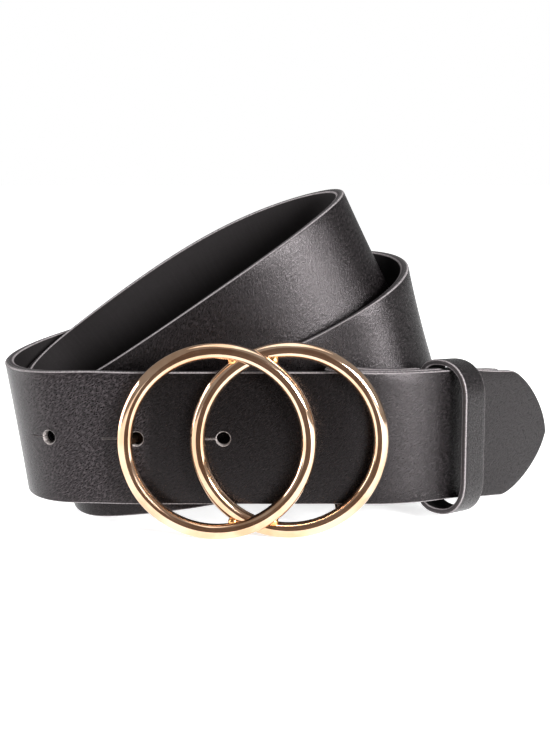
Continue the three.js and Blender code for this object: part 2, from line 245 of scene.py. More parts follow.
@dataclass(frozen=True)
class LeatherFinish:
    """Near-black leather with a pebbled grain that runs diagonally, a smooth back and painted edges."""

    name: str
    grain_colour: Colour = (0.0030, 0.0025, 0.0026, 1.0)
    # Light grain flecks, which carry the painted sheen
    fleck_sheen_colour: Colour = (0.0310, 0.0262, 0.0280, 1.0)
    crease_colour: Colour = (0.0007, 0.0006, 0.0006, 1.0)
    back_colour: Colour = (0.0024, 0.0021, 0.0021, 1.0)
    streak_colour: Colour = (0.0075, 0.0066, 0.0068, 1.0)
    edge_colour: Colour = (0.030, 0.027, 0.028, 1.0)
    # A painted highlight along the edges' corners
    corner_highlight_colour: Colour = (0.220, 0.200, 0.205, 1.0)
    sheen: Colour = (1.0, 0.92, 0.945, 1.0)
    specular: float = 0.21
    roughness: float = 0.26
    back_roughness: float = 0.80
    pore_roughness: float = 0.15
    pebble_polish: float = 0.08
    grain_angle: float = 36.0
    grain_length: float = 0.90
    grain_width: float = 0.26
    grain_depth: float = 0.000045
    waves: Noise = Noise(0.9, 3.0, 0.6)
    pores: Noise = Noise(4.0, 4.0, 0.6)
    streaks: Noise = Noise(1.0, 4.0, 0.6)
    streak_squeeze: tuple[float, float] = (1.6, 0.07)
    pebble_scale: float = 0.8
    pebble_share: float = 0.5
    pebble_band: Band = (0.0, 0.35)
    wave_band: Band = (0.30, 0.70)
    fleck_band: Band = (0.46, 0.60)
    grain_band: Band = (0.1, 0.9)
    streak_band: Band = (0.4, 0.8)
    streak_share: float = 0.4
    front_band: Band = (-0.2, 0.2)
    corner_band: Band = (0.45, 0.75)
    highlight_breaks_band: Band = (0.25, 0.6)
    edge_band: Band = (0.40, 0.16)
    front_pore_depth: float = 0.25
    back_pore_depth: float = 0.2
    back_streak_depth: float = 0.3
    edge_flatness: float = 0.85

    def _slant(self, shade: Shader, along: Signal, across: Signal) -> Signal:
        """Returns the place on the strap in pebbles, drawn out along a diagonal.

        Args:
            shade: the material under construction.
            along: how far along the strap the place is.
            across: how far across it is.

        Returns:
            The place as a vector.
        """
        turn = math.radians(self.grain_angle)
        drawn = (along * math.cos(turn) + across * math.sin(turn)) / self.grain_length
        beside = (across * math.cos(turn) - along * math.sin(turn)) / self.grain_width
        return shade.vector(drawn, beside)

    def build(self) -> bpy.types.Material:
        """Makes the material.

        Returns:
            The leather.
        """
        shade = Shader(self.name)
        along, across = shade.attribute("along"), shade.attribute("across")
        side, rim = shade.attribute("side"), shade.attribute("rim")
        grained = side.between(*self.front_band)
        slant = self._slant(shade, along, across)
        waved = shade.noise(slant, self.waves)
        pebbles = shade.cells(slant, self.pebble_scale)
        pores = shade.noise(shade.vector(along, across), self.pores)
        grain = pebbles.between(*self.pebble_band) * self.pebble_share + waved.between(*self.wave_band)
        grain = grain / (1 + self.pebble_share)
        squeeze_along, squeeze_across = self.streak_squeeze
        streaks = shade.noise(shade.vector(along * squeeze_along, across * squeeze_across), self.streaks)
        # The grain's light flecks carry painted sheen: full just before the rings, some elsewhere, and so
        # little between the rings that they paint shade there
        sheen_flecks = waved.between(*self.fleck_band) * shade.attribute("painted_sheen")
        front = shade.colour(grain.between(*self.grain_band), self.crease_colour, self.grain_colour)
        front = shade.colour(sheen_flecks, front, self.fleck_sheen_colour)
        streaked = streaks.between(*self.streak_band) * self.streak_share
        faces = shade.colour(grained, shade.colour(streaked, self.back_colour, self.streak_colour), front)
        # The edges are painted, and a painted highlight runs along their corners, broken up by noise
        on_edge = rim.between(*self.edge_band)
        corner_highlight = abs(side).between(*self.corner_band) * pores.between(*self.highlight_breaks_band)
        painted = shade.colour(corner_highlight, self.edge_colour, self.corner_highlight_colour)
        colour = shade.colour(on_edge, faces, painted)
        front_height = grained * (grain + pores * self.front_pore_depth)
        back_height = (1.0 - grained) * (streaks * self.back_streak_depth + pores * self.back_pore_depth)
        height = (front_height + back_height) * (1.0 - on_edge * self.edge_flatness)
        polish = self.back_roughness + grained * (self.roughness - self.back_roughness)
        rough = polish + (pores - 0.5) * self.pore_roughness - (grain - 0.5) * self.pebble_polish
        normal = shade.relief(height, self.grain_depth)
        return shade.surface(Base_Color=colour, Roughness=rough, Normal=normal,
                             Specular_IOR_Level=self.specular, Specular_Tint=self.sheen)


@dataclass(frozen=True)
class CutFinish:
    """The raw leather inside the punched holes."""

    name: str
    dark: Colour = (0.050, 0.044, 0.042, 1.0)
    light: Colour = (0.360, 0.320, 0.310, 1.0)
    fibres: Noise = Noise(2500.0, 4.0, 0.7)
    fibre_band: Band = (0.35, 0.7)
    fibre_depth: float = 0.00005
    roughness: float = 0.6
    fibre_roughness: float = 0.2

    def build(self) -> bpy.types.Material:
        """Makes the material.

        Returns:
            The raw leather.
        """
        shade = Shader(self.name)
        fibres = shade.noise(shade.place(), self.fibres)
        colour = shade.colour(fibres.between(*self.fibre_band), self.dark, self.light)
        rough = self.roughness + (fibres - 0.5) * self.fibre_roughness
        normal = shade.relief(fibres, self.fibre_depth)
        return shade.surface(Base_Color=colour, Roughness=rough, Normal=normal)


@dataclass(frozen=True)
class MetalFinish:
    """Polished pale rose gold plating with fine wear."""

    name: str
    bright: Colour = (0.72, 0.515, 0.370, 1.0)
    deep: Colour = (0.56, 0.355, 0.225, 1.0)
    roughness: float = 0.08
    clouds: Noise = Noise(90.0, 3.0)
    cloud_band: Band = (0.35, 0.65)
    cloud_roughness: float = 0.06
    ripples: Noise = Noise(900.0, 4.0, 0.6)
    ripple_share: float = 0.6
    scratches: Noise = Noise(1.0)
    scratch_squeeze: tuple[float, float, float] = (300.0, 300.0, 4000.0)
    scratch_band: Band = (0.62, 0.75)
    scratch_roughness: float = 0.05
    scratch_share: float = 0.4
    wear_depth: float = 0.000003

    def build(self) -> bpy.types.Material:
        """Makes the material.

        Returns:
            The plating.
        """
        shade = Shader(self.name)
        place = shade.place()
        clouds = shade.noise(place, self.clouds)
        ripples = shade.noise(place, self.ripples)
        squeezed = shade.node("ShaderNodeMapping", {}, {"Vector": place, "Scale": self.scratch_squeeze})
        scratches = shade.noise(squeezed, self.scratches)
        colour = shade.colour(clouds.between(*self.cloud_band), self.deep, self.bright)
        rough = self.roughness + (clouds - 0.5) * self.cloud_roughness
        rough = rough + scratches.between(*self.scratch_band) * self.scratch_roughness
        wear = shade.relief(ripples * self.ripple_share + scratches * self.scratch_share, self.wear_depth)
        return shade.surface(Base_Color=colour, Roughness=rough, Normal=wear, Metallic=1.0)


@dataclass(frozen=True)
class SolderFinish:
    """The warmer, duller metal of the soldered joints."""

    name: str
    bright: Colour = (0.90, 0.48, 0.20, 1.0)
    deep: Colour = (0.62, 0.27, 0.09, 1.0)
    roughness: float = 0.24
    mottle: Noise = Noise(700.0, 3.0)
    mottle_band: Band = (0.35, 0.65)
    mottle_roughness: float = 0.2
    mottle_depth: float = 0.00003

    def build(self) -> bpy.types.Material:
        """Makes the material.

        Returns:
            The solder.
        """
        shade = Shader(self.name)
        mottled = shade.noise(shade.place(), self.mottle)
        colour = shade.colour(mottled.between(*self.mottle_band), self.deep, self.bright)
        rough = self.roughness + (mottled - 0.5) * self.mottle_roughness
        normal = shade.relief(mottled, self.mottle_depth)
        return shade.surface(Base_Color=colour, Roughness=rough, Normal=normal, Metallic=1.0)


@dataclass(frozen=True)
class SheetFinish:
    """A plain matt sheet of the studio that glows a little: the floor evenly, the card as a painted
    reflection.
    """

    name: str
    colour: Colour
    mottled: Colour
    roughness: float
    glow: float
    mottle: Noise = Noise(30.0)
    mottle_band: Band = (0.3, 0.7)

    def build(self) -> bpy.types.Material:
        """Makes the material.

        Returns:
            The sheet's surface.
        """
        shade = Shader(self.name)
        mottle = shade.noise(shade.place(), self.mottle)
        colour = shade.colour(mottle.between(*self.mottle_band), self.colour, self.mottled)
        return shade.surface(Base_Color=colour, Roughness=self.roughness, Emission_Color=colour,
                             Emission_Strength=self.glow)


PALE_FLOOR = SheetFinish("pale_floor", (0.90, 0.90, 0.90, 1.0), (0.92, 0.92, 0.92, 1.0), 0.7, 0.75)
# A sheet seen only in reflections that glows dark brown: a painted dark, warm reflection
PAINTED_REFLECTION_CARD = SheetFinish("reflection_card", (0.058, 0.044, 0.037, 1.0), (0.080, 0.060, 0.050, 1.0), 0.9, 1.3)
# The stud's near-black metal is painted shade where it shows in the hole
SHADED_STUD = MetalFinish("stud_shade_metal", (0.020, 0.012, 0.008, 1.0), (0.010, 0.006, 0.004, 1.0), 0.5)


class Station(NamedTuple):
    """A place on the strap with its directions, in millimetres."""

    place: Vector
    along: Vector
    up: Vector
    out: Vector
    distance: float


@dataclass(frozen=True)
class Bend:
    """One bend of the route seen from above, or a plain place on it where the radius is 0."""

    across: float
    deep: float
    height: float
    enter: float
    leave: float
    radius: float = 0.0
    climb: float = 0.0
    lean: float = 0.0
    nod: float = 0.0


class Knot(NamedTuple):
    """A point of the centre line before its directions are known."""

    place: Vector
    heading: float
    slope: float
    lean: float
    nod: float


@dataclass(frozen=True)
class BuckleSizes:
    """Sizes of the buckle, in millimetres."""

    ring_diameter: float = 50.0
    ring_wire: float = 4.0
    spacing: float = 18.1
    step: float = 1.5
    clear: float = 0.3
    bar_wire: float = 3.0
    solder_radius: float = 1.3
    stud_wire: float = 1.6
    stud_head: float = 5.0
    stud_head_thickness: float = 1.2
    stud_clear: float = 0.5
    stud_rounding: float = 0.2
    stud_rounding_share: float = 0.2
    bar_bend_share: float = 1.1

    @property
    def radius(self) -> float:
        """The radius of a ring's wire centre."""
        return (self.ring_diameter - self.ring_wire) / 2

    @property
    def height(self) -> float:
        """The height of the rings' middles."""
        return self.ring_diameter / 2

    @property
    def right_deep(self) -> float:
        """How deep the right ring lies."""
        return -(self.clear + self.ring_wire / 2)

    @property
    def left_deep(self) -> float:
        """How deep the left ring lies."""
        return self.right_deep - self.step


@dataclass(frozen=True)
class StrapSizes:
    """Sizes of the strap and its coil, in millimetres and degrees."""

    width: float = 34.0
    thickness: float = 2.4
    corner: float = 0.5
    layer_gap: float = 0.3
    tip_arch: float = 16.8
    tip_bluntness: float = 1.4
    tip_roundness: float = 1.6
    tip_run: float = 38.5
    tip_end_corners: float = 1.6
    tip_drop: float = 5.6
    tip_climb: float = -6.0
    coil_length: float = 110.0
    coil_depth: float = 53.0
    rear_bend_run: float = 15.2
    rear_bend_radius: float = 13.2
    rear_bend_drop: float = 5.3
    rear_bend_leaves: float = 178.0
    rear_bend_climb: float = -9.0
    rear_bend_nod: float = 1.0
    left_bend_radius: float = 17.0
    left_bend_across: float = -44.5
    left_bend_turn: float = 168.0
    left_bend_rise: float = 0.9
    left_bend_climb: float = -7.5
    left_bend_lean: float = 9.0
    front_starts: float = -30.6
    tuck_radius: float = 42.0
    tuck_angle: float = 42.0
    tuck_climb: float = -2.0
    beyond_run: float = 11.0
    beyond_drop: float = 2.6
    beyond_climb: float = -7.0
    flap_length: float = 22.0
    flap_closes: float = 10.0
    hole_diameter: float = 3.5
    hole_spacing: float = 22.0
    hole_count: int = 4
    slit_length: float = 4.2
    slit_width: float = 0.5
    worn_slit_length: float = 7.4
    hole_bevel: float = 0.22


class CoilBend(NamedTuple):
    """A bend of the coil.

    across and deep place its centre and radius sizes it, as shares of the coil's length and depth. enter
    and leave are headings, rise is a share of the strap's width, and the rest are degrees.
    """

    name: str
    across: float
    deep: float
    radius: float
    enter: float
    leave: float
    rise: float
    climb: float
    lean: float
    nod: float = 0.0


class RearPlace(NamedTuple):
    """A place on the rear run, as shares of the coil's length and depth, with its angles in degrees."""

    name: str
    across: float
    deep: float
    heading: float
    nod: float


COIL_BENDS: tuple[CoilBend, ...] = (
    CoilBend("inner left", -0.291, 0.364, 0.170, 190, 368, -0.160, 17.0, 17.0),
    CoilBend("peak", 0.163, 0.670, 0.236, 405, 543, 1.345, 11.5, 26.0, nod=5.0),
    CoilBend("middle left", -0.362, 0.351, 0.245, 550, 722, -0.088, -20.0, 22.5),
    CoilBend("outer right", 0.237, 0.638, 0.354, 732, 900, 0.715, 15.5, 15.6),
)

# The run that the coil stands on, tipped forward under the outer bend
REAR_RUN: tuple[RearPlace, ...] = (
    RearPlace("under the outer bend", 0.390, 0.900, 183, 22.0),
    RearPlace("upright", 0.220, 0.838, 189, 0.0),
    RearPlace("end of the upright part", 0.020, 0.742, 194, 0.0),
)

# How long a run's handles are as a share of its length, how many points ease a corner, and how many
# turns the strap makes between its two ends
RUN_HANDLE = 0.36
CORNER_EASE = 4
COIL_TURNS = 3

# Painted sheen on the grain: how light it is on most of the leather, and how faint between the rings, where
# it paints shade; and the distance counted as far from an edge, in millimetres
PAINTED_SHEEN = 0.35
PAINTED_SHEEN_IN_SHADE = 0.08
FAR_FROM_RIM = 8.0


def smooth(share: float) -> float:
    """Returns a share eased at both ends."""
    return share * share * (3 - 2 * share)


def mixed(a: float, b: float, share: float) -> float:
    """Returns the value that lies a share of the way from a to b."""
    return a + (b - a) * share


def corner_arc(out: float, up: float, radius: float) -> list[tuple[float, float]]:
    """Returns the points between the ends of a section's rounded corner.

    Args:
        out: the section's reach outwards.
        up: its reach upwards.
        radius: the corner's radius.

    Returns:
        The points, from the side towards the top.
    """
    turns = [math.pi * k / 8 for k in range(1, 4)]
    return [(out - radius + radius * math.cos(turn), up - radius + radius * math.sin(turn))
            for turn in turns]


class Route:
    """The strap's path from the buckle end to the tip."""

    def __init__(self, strap: StrapSizes, buckle: BuckleSizes) -> None:
        """Lays the path.

        Args:
            strap: the strap's sizes.
            buckle: the buckle's sizes.
        """
        self.strap = strap
        self.buckle = buckle
        self.front_deep = strap.thickness / 2
        self.second_deep = self.front_deep + strap.thickness + strap.layer_gap
        self.fold_radius = (buckle.bar_wire + strap.thickness) / 2 + buckle.clear
        self.bar_deep = self.second_deep + self.fold_radius
        self.post_height = strap.width / 2 + buckle.clear + buckle.bar_wire / 2
        self.bar_across = buckle.spacing / 2 + math.sqrt(buckle.radius ** 2 - self.post_height ** 2)
        self.tuck_across = self.bar_across + buckle.bar_wire / 3
        self.stud_across = -buckle.spacing / 2 - buckle.radius + buckle.ring_wire / 2
        self.stations = self._frames(self._centre_line())
        self.length = self.stations[-1].distance

    def _standing(self, nod: float) -> float:
        """Returns the height of the strap's middle where its lower edge stands on the surface."""
        tip = math.radians(nod)
        return self.strap.width / 2 * math.cos(tip) + self.strap.thickness / 2 * math.sin(tip)

    def _tuck(self, radius: float, deep: float, start: float) -> Bend:
        """Returns the bend away from the buckle."""
        drop = radius * math.radians(self.strap.tuck_angle) * math.tan(math.radians(-self.strap.tuck_climb))
        return Bend(self.tuck_across, deep + radius, self.buckle.height - drop / 2, start,
                    start + self.strap.tuck_angle, radius, self.strap.tuck_climb)

    def _beyond(self, tuck: Bend, run: float) -> tuple[float, float]:
        """Returns a place beyond the bend away from the buckle.

        Args:
            tuck: the bend.
            run: how far beyond its end the place is.

        Returns:
            How far across and how deep the place is.
        """
        turn = math.radians(self.strap.tuck_angle)
        across = tuck.across + tuck.radius * math.sin(turn) + run * math.cos(turn)
        deep = tuck.deep - tuck.radius * math.cos(turn) + run * math.sin(turn)
        return across, deep

    def bends(self) -> list[Bend]:
        """Lists the route's bends.

        Returns:
            The bends in order, from the buckle end to the tip.
        """
        size = self.strap
        top = self.buckle.height
        turns = COIL_TURNS * 360.0
        inner = self._tuck(size.tuck_radius - self.second_deep + self.front_deep, self.second_deep, 0.0)
        outer = self._tuck(size.tuck_radius, self.front_deep, turns)
        turn = math.radians(size.tuck_angle)
        rear = self._beyond(inner, size.rear_bend_run)
        low = top - size.beyond_drop
        rows = [
            Bend(self.bar_across, self.second_deep, top, 0.0, 0.0),
            inner,
            Bend(*self._beyond(inner, size.beyond_run), low, size.tuck_angle, size.tuck_angle,
                 climb=size.beyond_climb),
            Bend(rear[0] - size.rear_bend_radius * math.sin(turn),
                 rear[1] + size.rear_bend_radius * math.cos(turn), top - size.rear_bend_drop,
                 size.tuck_angle, size.rear_bend_leaves, size.rear_bend_radius, size.rear_bend_climb,
                 nod=size.rear_bend_nod),
        ]
        length, depth = size.coil_length, size.coil_depth
        for spot in REAR_RUN:
            rows.append(Bend(spot.across * length, spot.deep * depth, self._standing(spot.nod),
                             spot.heading, spot.heading, nod=spot.nod))
        for bend in COIL_BENDS:
            rows.append(Bend(bend.across * length, bend.deep * depth, top + bend.rise * size.width,
                             bend.enter, bend.leave, bend.radius * depth, bend.climb, bend.lean, bend.nod))
        at_end = turns + size.tuck_angle
        rows += [
            Bend(size.left_bend_across, self.front_deep + size.left_bend_radius, top + size.left_bend_rise,
                 turns - size.left_bend_turn, turns, size.left_bend_radius, size.left_bend_climb,
                 size.left_bend_lean),
            Bend(size.front_starts, self.front_deep, top, turns, turns),
            Bend(self.tuck_across - self.buckle.bar_wire, self.front_deep, top, turns, turns),
            outer,
            Bend(*self._beyond(outer, size.beyond_run), low, at_end, at_end, climb=size.beyond_climb),
            Bend(*self._beyond(outer, size.tip_run), top - size.tip_drop, at_end, at_end,
                 climb=size.tip_climb),
        ]
        return rows

    @staticmethod
    def _lay_bend(row: Bend) -> list[Knot]:
        """Lays the points along one bend.

        Args:
            row: the bend.

        Returns:
            The points in order.
        """
        enter, turn = math.radians(row.enter), math.radians(row.leave - row.enter)
        arc = turn * row.radius
        steps = max(1, math.ceil(arc))
        tilt = math.tan(math.radians(row.lean)) if arc > 0 else 0.0
        climb = math.tan(math.radians(row.climb))
        knots = []
        for i in range(steps + 1 if arc > 0 else 1):
            heading = enter + turn * i / steps
            aside = row.radius * (math.sin(heading) - math.sin(enter + turn / 2))
            height = row.height + tilt * aside + climb * arc * (i / steps - 0.5)
            place = Vector((row.across + row.radius * math.sin(heading),
                            row.deep - row.radius * math.cos(heading), height))
            knots.append(Knot(place, heading, tilt * math.cos(heading) + climb, row.lean, row.nod))
        return knots

    @staticmethod
    def _lay_run(start: Knot, end: Knot) -> list[Knot]:
        """Lays the points along the run between two bends.

        Args:
            start: the last point of the bend before.
            end: the first point of the bend after.

        Returns:
            The points between them in order.
        """
        a, d = start.place.to_2d(), end.place.to_2d()
        handle = RUN_HANDLE * (d - a).length
        b = a + handle * Vector((math.cos(start.heading), math.sin(start.heading)))
        c = d - handle * Vector((math.cos(end.heading), math.sin(end.heading)))
        fine = 200
        plan = []
        for i in range(fine + 1):
            u = i / fine
            v = 1 - u
            plan.append(a * v ** 3 + 3 * b * v * v * u + 3 * c * v * u * u + d * u ** 3)
        lengths = [0.0]
        for i in range(fine):
            lengths.append(lengths[-1] + (plan[i + 1] - plan[i]).length)
        length = lengths[-1]
        steps = max(2, math.ceil(length))
        knots = []
        k = 0
        for i in range(1, steps):
            share = i / steps
            while lengths[k + 1] < share * length:
                k += 1
            point = plan[k].lerp(plan[k + 1], (share * length - lengths[k]) / (lengths[k + 1] - lengths[k]))
            rest = 1 - share
            height = ((1 + 2 * share) * rest ** 2 * start.place.z + share * rest ** 2 * length * start.slope
                      + share ** 2 * (3 - 2 * share) * end.place.z - share ** 2 * rest * length * end.slope)
            eased = smooth(share)
            knots.append(Knot(Vector((point.x, point.y, height)), 0.0, 0.0,
                              mixed(start.lean, end.lean, eased), mixed(start.nod, end.nod, eased)))
        return knots

    def _centre_line(self) -> list[Knot]:
        """Lays the whole centre line and eases its corners.

        Returns:
            The points in order.
        """
        line: list[Knot] = []
        for row in self.bends():
            bend = self._lay_bend(row)
            if line:
                line += self._lay_run(line[-1], bend[0])
            line += bend
        eased = []
        for i, knot in enumerate(line):
            reach = min(CORNER_EASE, i, len(line) - 1 - i)
            near = line[i - reach:i + reach + 1]
            eased.append(knot._replace(place=sum((other.place for other in near), Vector()) / len(near)))
        return eased

    def _frames(self, line: list[Knot]) -> list[Station]:
        """Finds the strap's own directions along the centre line.

        Args:
            line: the centre line's points.

        Returns:
            A station for each point.
        """
        distance = 0.0
        stations = []
        for i, knot in enumerate(line):
            before = line[max(0, i - 1)].place
            after = line[min(len(line) - 1, i + 1)].place
            if i:
                distance += (knot.place - before).length
            along = (after - before).normalized()
            axis = Vector((-math.sin(math.radians(knot.lean)), -math.sin(math.radians(knot.nod)),
                           math.cos(math.radians(knot.lean))))
            up = (axis - along * axis.dot(along)).normalized()
            out = along.cross(up)
            low = knot.place.z - abs(up.z) * self.strap.width / 2 - abs(out.z) * self.strap.thickness / 2
            stations.append(Station(knot.place + Vector((0, 0, max(0.0, -low))), along, up, out, distance))
        return stations

    def at(self, distance: float) -> Station:
        """Finds the station at a distance along the strap.

        Args:
            distance: the distance from the buckle end.

        Returns:
            The station, between its neighbours.
        """
        k = next(i for i, station in enumerate(self.stations) if i and station.distance >= distance)
        a, b = self.stations[k - 1], self.stations[k]
        share = (distance - a.distance) / (b.distance - a.distance)
        return Station(a.place.lerp(b.place, share), a.along.lerp(b.along, share).normalized(),
                       a.up.lerp(b.up, share).normalized(), a.out.lerp(b.out, share).normalized(), distance)

    def fold(self) -> list[Station]:
        """Lays the flap behind the strap and the fold round the bar.

        Returns:
            Their stations, from the flap's end to the start of the route.
        """
        size = self.strap
        stations = []
        for station in reversed([s for s in self.stations if s.distance <= size.flap_length]):
            closed = smooth(min(1.0, station.distance / size.flap_closes))
            apart = mixed(2 * self.fold_radius, size.thickness + size.layer_gap, closed)
            stations.append(Station(station.place - station.out * apart, -station.along, station.up,
                                    -station.out, -station.distance))
        stations.pop()
        up = Vector((0, 0, 1))
        steps = 24
        for i in range(steps + 1):
            turn = math.pi * i / steps
            out = Vector((-math.sin(turn), math.cos(turn), 0))
            centre = Vector((self.bar_across, self.bar_deep, self.buckle.height))
            stations.append(Station(centre + out * self.fold_radius, up.cross(out), up, out, 0.0))
        return stations

    def stud_distance(self) -> float:
        """Finds the stud's hole.

        Returns:
            How far along the strap it is.
        """
        across = self.stud_across + self.buckle.stud_clear
        before = next(s for s in reversed(self.stations) if s.place.x <= across)
        return before.distance + across - before.place.x


class Maker:
    """Turns shapes in millimetres into dressed objects in the row frame."""

    def __init__(self, origin: Vector) -> None:
        """Remembers where the buckle's own origin lies in the row frame.

        Args:
            origin: the place in metres.
        """
        self.origin = origin

    def place(self, point: Vector) -> Vector:
        """Returns a point in the row frame, in metres."""
        return point * MM + self.origin

    def mesh(self, name: str, points: Sequence[Vector], faces: Sequence[Sequence[int]],
             material: bpy.types.Material,
             notes: dict[str, Sequence[float]] | None = None) -> bpy.types.Object:
        """Makes a smooth mesh in the row frame.

        Args:
            name: the piece's name.
            points: its corners in millimetres.
            faces: its faces.
            material: its finish.
            notes: values for each point by attribute name.

        Returns:
            The new object.
        """
        data = bpy.data.meshes.new(name)
        data.from_pydata([self.place(point) for point in points], [], faces)
        corners = [loop.vertex_index for loop in data.loops]
        for key, values in (notes or {}).items():
            note = data.attributes.new(key, "FLOAT", "CORNER")
            note.data.foreach_set("value", [values[k] for k in corners])
        data.materials.append(material)
        data.shade_smooth()
        data.set_sharp_from_angle(angle=SHARP)
        made = bpy.data.objects.new(name, data)
        bpy.context.scene.collection.objects.link(made)
        return made

    def tube(self, name: str, path: Sequence[tuple[Vector, Vector, Vector]], radii: Sequence[float],
             material: bpy.types.Material, closed: bool = False, sides: int = 28) -> bpy.types.Object:
        """Makes a round tube along a path.

        Args:
            name: the piece's name.
            path: the middle and the two section directions at each step.
            radii: the tube's radius at each step.
            material: its finish.
            closed: whether the path meets itself.
            sides: the number of sides of the section.

        Returns:
            The new object.
        """
        points = []
        faces = []
        for (middle, first, second), radius in zip(path, radii):
            for k in range(sides):
                turn = 2 * math.pi * k / sides
                points.append(middle + (first * math.cos(turn) + second * math.sin(turn)) * radius)
        count = len(path)
        for i in range(count if closed else count - 1):
            for k in range(sides):
                a, b = i * sides + k, i * sides + (k + 1) % sides
                c, d = (i + 1) % count * sides + (k + 1) % sides, (i + 1) % count * sides + k
                faces.append((a, b, c, d))
        if not closed:
            faces.append(tuple(reversed(range(sides))))
            faces.append(tuple(range((count - 1) * sides, count * sides)))
        return self.mesh(name, points, faces, material)

    @staticmethod
    def cut(piece: bpy.types.Object, cutters: Sequence[bpy.types.Object]) -> None:
        """Cuts shapes out of a piece, which takes their finish where it is cut.

        Args:
            piece: the piece to cut.
            cutters: the shapes, which are removed afterwards.
        """
        for cutter in cutters:
            made = piece.modifiers.new(cutter.name, "BOOLEAN")
            made.operation = "DIFFERENCE"
            made.solver = "EXACT"
            made.material_mode = "TRANSFER"
            made.object = cutter
        shaped = piece.evaluated_get(bpy.context.evaluated_depsgraph_get())
        data = bpy.data.meshes.new_from_object(shaped)
        piece.modifiers.clear()
        piece.data = data
        data.set_sharp_from_angle(angle=SHARP)
        for cutter in cutters:
            bpy.data.objects.remove(cutter)

    def turned(self, name: str, start: Vector, end: Vector, profile: Sequence[tuple[float, float]],
               material: bpy.types.Material, sides: int = 28) -> bpy.types.Object:
        """Makes a turned piece between two places.

        Args:
            name: the piece's name.
            start: where the piece starts.
            end: where it ends.
            profile: the radius in millimetres at each share of the way.
            material: its finish.
            sides: the number of sides.

        Returns:
            The new object.
        """
        way = (end - start).normalized()
        first = way.orthogonal().normalized()
        second = way.cross(first)
        path = [(start.lerp(end, share), first, second) for share, _ in profile]
        return self.tube(name, path, [radius for _, radius in profile], material, sides=sides)


